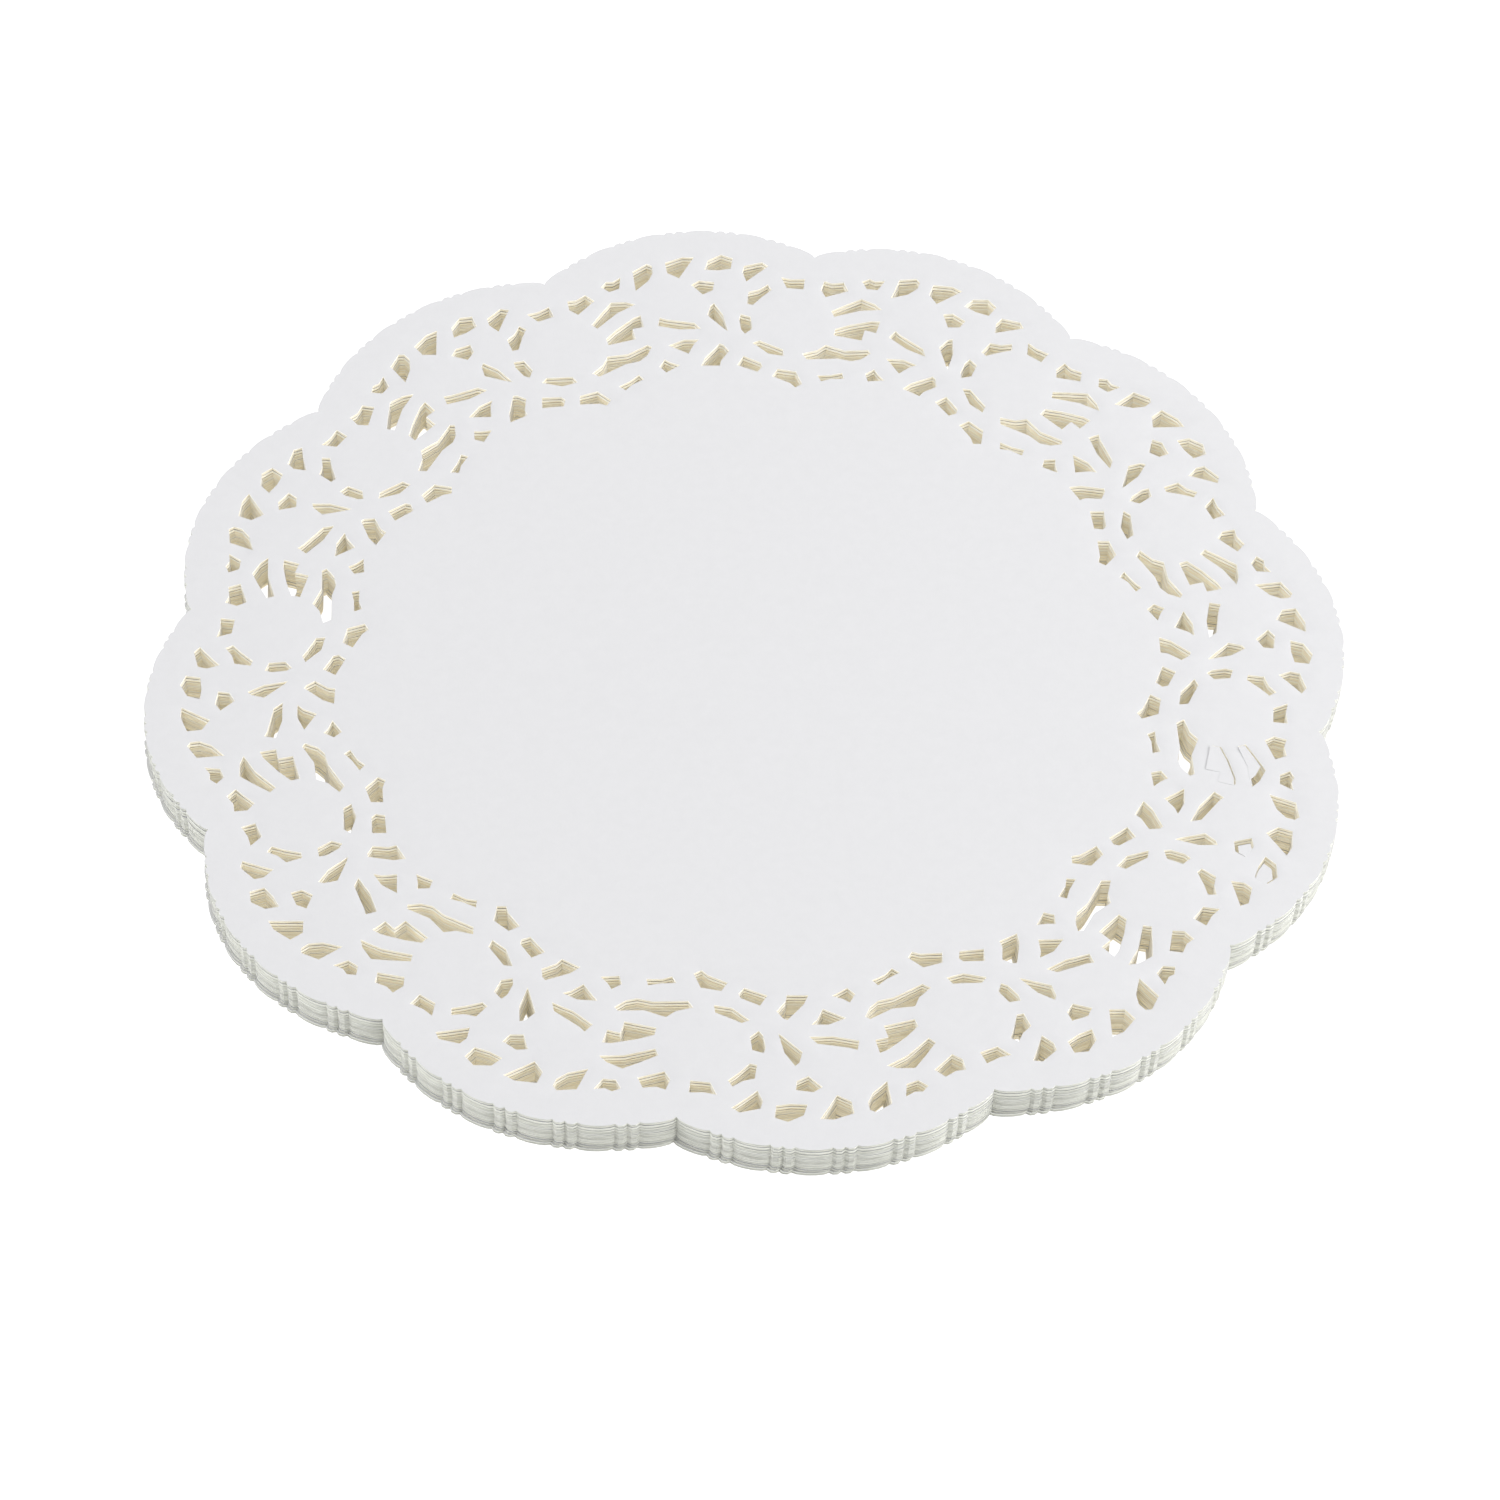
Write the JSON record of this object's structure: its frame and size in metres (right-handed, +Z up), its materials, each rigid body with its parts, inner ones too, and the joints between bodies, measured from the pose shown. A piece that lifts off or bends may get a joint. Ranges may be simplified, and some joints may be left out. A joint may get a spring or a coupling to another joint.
{
  "type": "pile of paper lace doilies",
  "caption": "Neat pile of round die-cut paper lace doilies with a scalloped edge, a ring of lace openings and a plain middle, lying flat to be lifted off one by one.",
  "frame": {"origin": "middle of the underside of the lowest doily", "axes": "+Z up through the pile, along its axis; a scallop tip points along each of +X, -X, +Y and -Y"},
  "size_m": [0.254, 0.254, 0.0085],
  "materials": {
    "paper": "white uncoated embossed paper, matt"
  },
  "bodies": {
    "lower_pile": {"doily_01": "paper", "doily_02": "paper", "doily_03": "paper", "doily_04": "paper", "doily_05": "paper", "doily_06": "paper", "doily_07": "paper", "doily_08": "paper", "doily_09": "paper", "doily_10": "paper", "doily_11": "paper", "doily_12": "paper", "doily_13": "paper", "doily_14": "paper", "doily_15": "paper", "doily_16": "paper", "doily_17": "paper", "doily_18": "paper", "doily_19": "paper", "doily_20": "paper", "doily_21": "paper", "doily_22": "paper", "doily_23": "paper", "doily_24": "paper", "doily_25": "paper"},
    "upper_pile": {"doily_26": "paper", "doily_27": "paper", "doily_28": "paper", "doily_29": "paper", "doily_30": "paper", "doily_31": "paper", "doily_32": "paper", "doily_33": "paper", "doily_34": "paper", "doily_35": "paper", "doily_36": "paper", "doily_37": "paper", "doily_38": "paper", "doily_39": "paper", "doily_40": "paper", "doily_41": "paper", "doily_42": "paper", "doily_43": "paper", "doily_44": "paper", "doily_45": "paper", "doily_46": "paper", "doily_47": "paper"},
    "third_sheet": {"doily_48": "paper"},
    "second_sheet": {"doily_49": "paper"},
    "top_sheet": {"doily_50": "paper"}
  },
  "joints": [
    {"name": "lift_upper_pile", "type": "slide", "parent": "lower_pile", "child": "upper_pile", "axis": [0, 0, 1], "range_m": [0, 0.06]},
    {"name": "lift_doily_48", "type": "slide", "parent": "upper_pile", "child": "third_sheet", "axis": [0, 0, 1], "range_m": [0, 0.04]},
    {"name": "lift_doily_49", "type": "slide", "parent": "third_sheet", "child": "second_sheet", "axis": [0, 0, 1], "range_m": [0, 0.04]},
    {"name": "lift_doily_50", "type": "slide", "parent": "second_sheet", "child": "top_sheet", "axis": [0, 0, 1], "range_m": [0, 0.04]}
  ]
}
